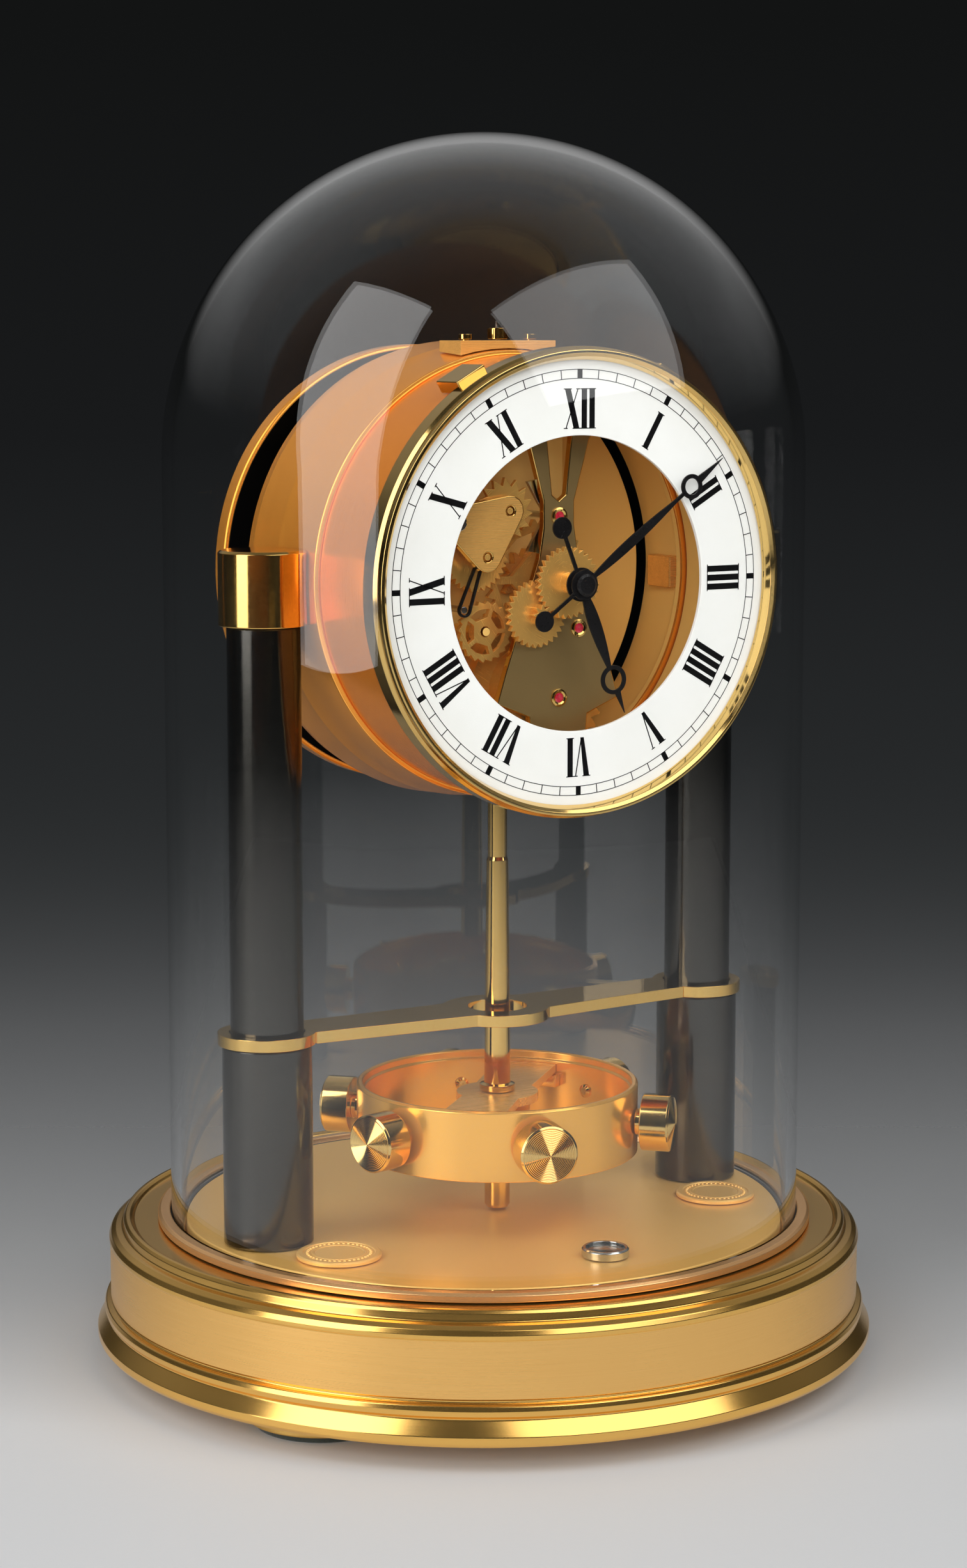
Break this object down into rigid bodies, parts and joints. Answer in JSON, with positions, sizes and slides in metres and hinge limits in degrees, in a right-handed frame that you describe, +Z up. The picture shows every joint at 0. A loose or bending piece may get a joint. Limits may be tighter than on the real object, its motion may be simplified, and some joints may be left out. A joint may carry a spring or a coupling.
{
  "type": "atmospheric clock",
  "caption": "Table clock under a glass dome: a drum movement on two columns, with a torsion pendulum on a wire and a bellows that winds it, on a round brass base with levelling feet.",
  "frame": {"origin": "on the base's vertical axis, at the height of the surface that the feet stand on", "axes": "+Z up, -Y towards the viewer of the dial, +X to that viewer's right"},
  "size_m": [0.19, 0.19, 0.296],
  "materials": {
    "polished_brass": "polished, lacquered",
    "brushed_brass": "fine brushed, lacquered",
    "copper_brass": "satin, copper coloured",
    "gunmetal": "polished, dark plated",
    "steel": "polished",
    "black_lacquer": "satin black lacquer",
    "white_enamel": "satin white enamel",
    "clear_glass": "clear",
    "black_rubber": "matt",
    "dark_felt": "felt"
  },
  "bodies": {
    "clock": {"base_body": "polished_brass", "base_deck": "brushed_brass", "base_floor": "brushed_brass", "rear_foot": "brushed_brass", "left_foot_cap": "polished_brass", "right_foot_cap": "polished_brass", "dome_seal": "black_rubber", "left_column": "gunmetal", "right_column": "gunmetal", "left_collar": "polished_brass", "right_collar": "polished_brass", "cross_strap": "polished_brass", "spirit_level_case": "steel", "spirit_level_vial": "clear_glass", "bellows_can": "brushed_brass", "rear_lid": "brushed_brass", "movement_casing": "copper_brass", "suspension_saddle": "polished_brass", "left_suspension_screw": "polished_brass", "right_suspension_screw": "polished_brass", "suspension_nut": "polished_brass", "torsion_wire": "steel", "chapter_ring": "white_enamel", "bezel": "polished_brass", "front_plate": "brushed_brass", "back_plate": "copper_brass", "train_bridge": "copper_brass"},
    "dome": {"glass_dome": "clear_glass", "dome_rim": "copper_brass"},
    "balance": {"balance_tube": "polished_brass", "balance_crossbar": "polished_brass", "balance_hub": "polished_brass", "balance_ring": "polished_brass", "balance_weight_1": "polished_brass", "balance_weight_2": "polished_brass", "balance_weight_3": "polished_brass", "balance_weight_4": "polished_brass", "balance_weight_5": "polished_brass", "balance_weight_6": "polished_brass"},
    "centre": {"centre_wheel": "polished_brass", "cannon_pinion": "steel", "minute_hand": "black_lacquer", "hand_nut": "black_lacquer"},
    "hour": {"hour_wheel": "polished_brass", "hour_hand": "black_lacquer"},
    "motion": {"minute_wheel": "polished_brass"},
    "barrel": {"barrel": "polished_brass"},
    "third": {"third_wheel": "polished_brass"},
    "escape": {"escape_wheel": "polished_brass"},
    "lever": {"pallet_lever": "steel"},
    "bellows_front": {"bellows_plate": "copper_brass", "bellows": "copper_brass"},
    "winding": {"winding_wheel": "copper_brass"},
    "crank": {"winding_lever": "black_lacquer"},
    "left_pad": {"left_foot_pad": "dark_felt"},
    "left_screw": {"left_foot_screw": "brushed_brass"},
    "right_pad": {"right_foot_pad": "dark_felt"},
    "right_screw": {"right_foot_screw": "brushed_brass"}
  },
  "joints": [
    {"name": "dome_lift", "type": "slide", "parent": "clock", "child": "dome", "axis": [0, 0, 1], "range_m": [0, 0.27]},
    {"name": "balance_swing", "type": "hinge", "parent": "clock", "child": "balance", "pos_m": [0, -0.0065, 0.06], "axis": [0, 0, 1], "range_deg": [-270, 270], "stiffness_Nm_per_rad": 0.0000016},
    {"name": "minute_turn", "type": "hinge", "parent": "clock", "child": "centre", "pos_m": [0, -0.04, 0.1922], "axis": [0, 1, 0], "continuous": true},
    {"name": "hour_turn", "type": "hinge", "parent": "clock", "child": "hour", "pos_m": [0, -0.04, 0.1922], "axis": [0, 1, 0], "continuous": true},
    {"name": "motion_turn", "type": "hinge", "parent": "clock", "child": "motion", "pos_m": [-0.00707, -0.035, 0.18513], "axis": [0, 1, 0], "continuous": true},
    {"name": "barrel_turn", "type": "hinge", "parent": "clock", "child": "barrel", "pos_m": [0, -0.02, 0.1652], "axis": [0, 1, 0], "continuous": true},
    {"name": "third_turn", "type": "hinge", "parent": "clock", "child": "third", "pos_m": [-0.01898, -0.028, 0.19851], "axis": [0, 1, 0], "continuous": true},
    {"name": "escape_turn", "type": "hinge", "parent": "clock", "child": "escape", "pos_m": [-0.01298, -0.03, 0.20891], "axis": [0, 1, 0], "continuous": true},
    {"name": "lever_rock", "type": "hinge", "parent": "clock", "child": "lever", "pos_m": [0, -0.02, 0.2073], "axis": [0, 1, 0], "range_deg": [-5, 5]},
    {"name": "bellows_stroke", "type": "slide", "parent": "clock", "child": "bellows_front", "axis": [0, -1, 0], "range_m": [0, 0.004], "stiffness_N_per_m": 400},
    {"name": "winding_turn", "type": "hinge", "parent": "clock", "child": "winding", "pos_m": [-0.017, -0.028, 0.181], "axis": [0, 1, 0], "range_deg": [0, 60]},
    {"name": "crank_turn", "type": "hinge", "parent": "clock", "child": "crank", "pos_m": [-0.0235, -0.031, 0.1864], "axis": [0, 1, 0], "range_deg": [-16, 0]},
    {"name": "left_foot_travel", "type": "slide", "parent": "clock", "child": "left_pad", "axis": [0, 0, -1], "range_m": [0, 0.0025]},
    {"name": "left_foot_turn", "type": "hinge", "parent": "left_pad", "child": "left_screw", "pos_m": [-0.061, -0.03, 0.003], "axis": [0, 0, -1], "range_deg": [0, 720]},
    {"name": "right_foot_travel", "type": "slide", "parent": "clock", "child": "right_pad", "axis": [0, 0, -1], "range_m": [0, 0.0025]},
    {"name": "right_foot_turn", "type": "hinge", "parent": "right_pad", "child": "right_screw", "pos_m": [0.061, -0.03, 0.003], "axis": [0, 0, -1], "range_deg": [0, 720]}
  ],
  "couplings": [
    {"joint": "hour_turn", "follows": "minute_turn", "ratio": 0.083333},
    {"joint": "motion_turn", "follows": "minute_turn", "ratio": -0.33333},
    {"joint": "barrel_turn", "follows": "minute_turn", "ratio": -0.28571},
    {"joint": "third_turn", "follows": "minute_turn", "ratio": -2},
    {"joint": "escape_turn", "follows": "minute_turn", "ratio": 4},
    {"joint": "winding_turn", "follows": "bellows_stroke", "rad_per_m": 250},
    {"joint": "crank_turn", "follows": "bellows_stroke", "rad_per_m": -65},
    {"joint": "left_foot_turn", "follows": "left_foot_travel", "rad_per_m": 5026.5},
    {"joint": "right_foot_turn", "follows": "right_foot_travel", "rad_per_m": 5026.5}
  ]
}
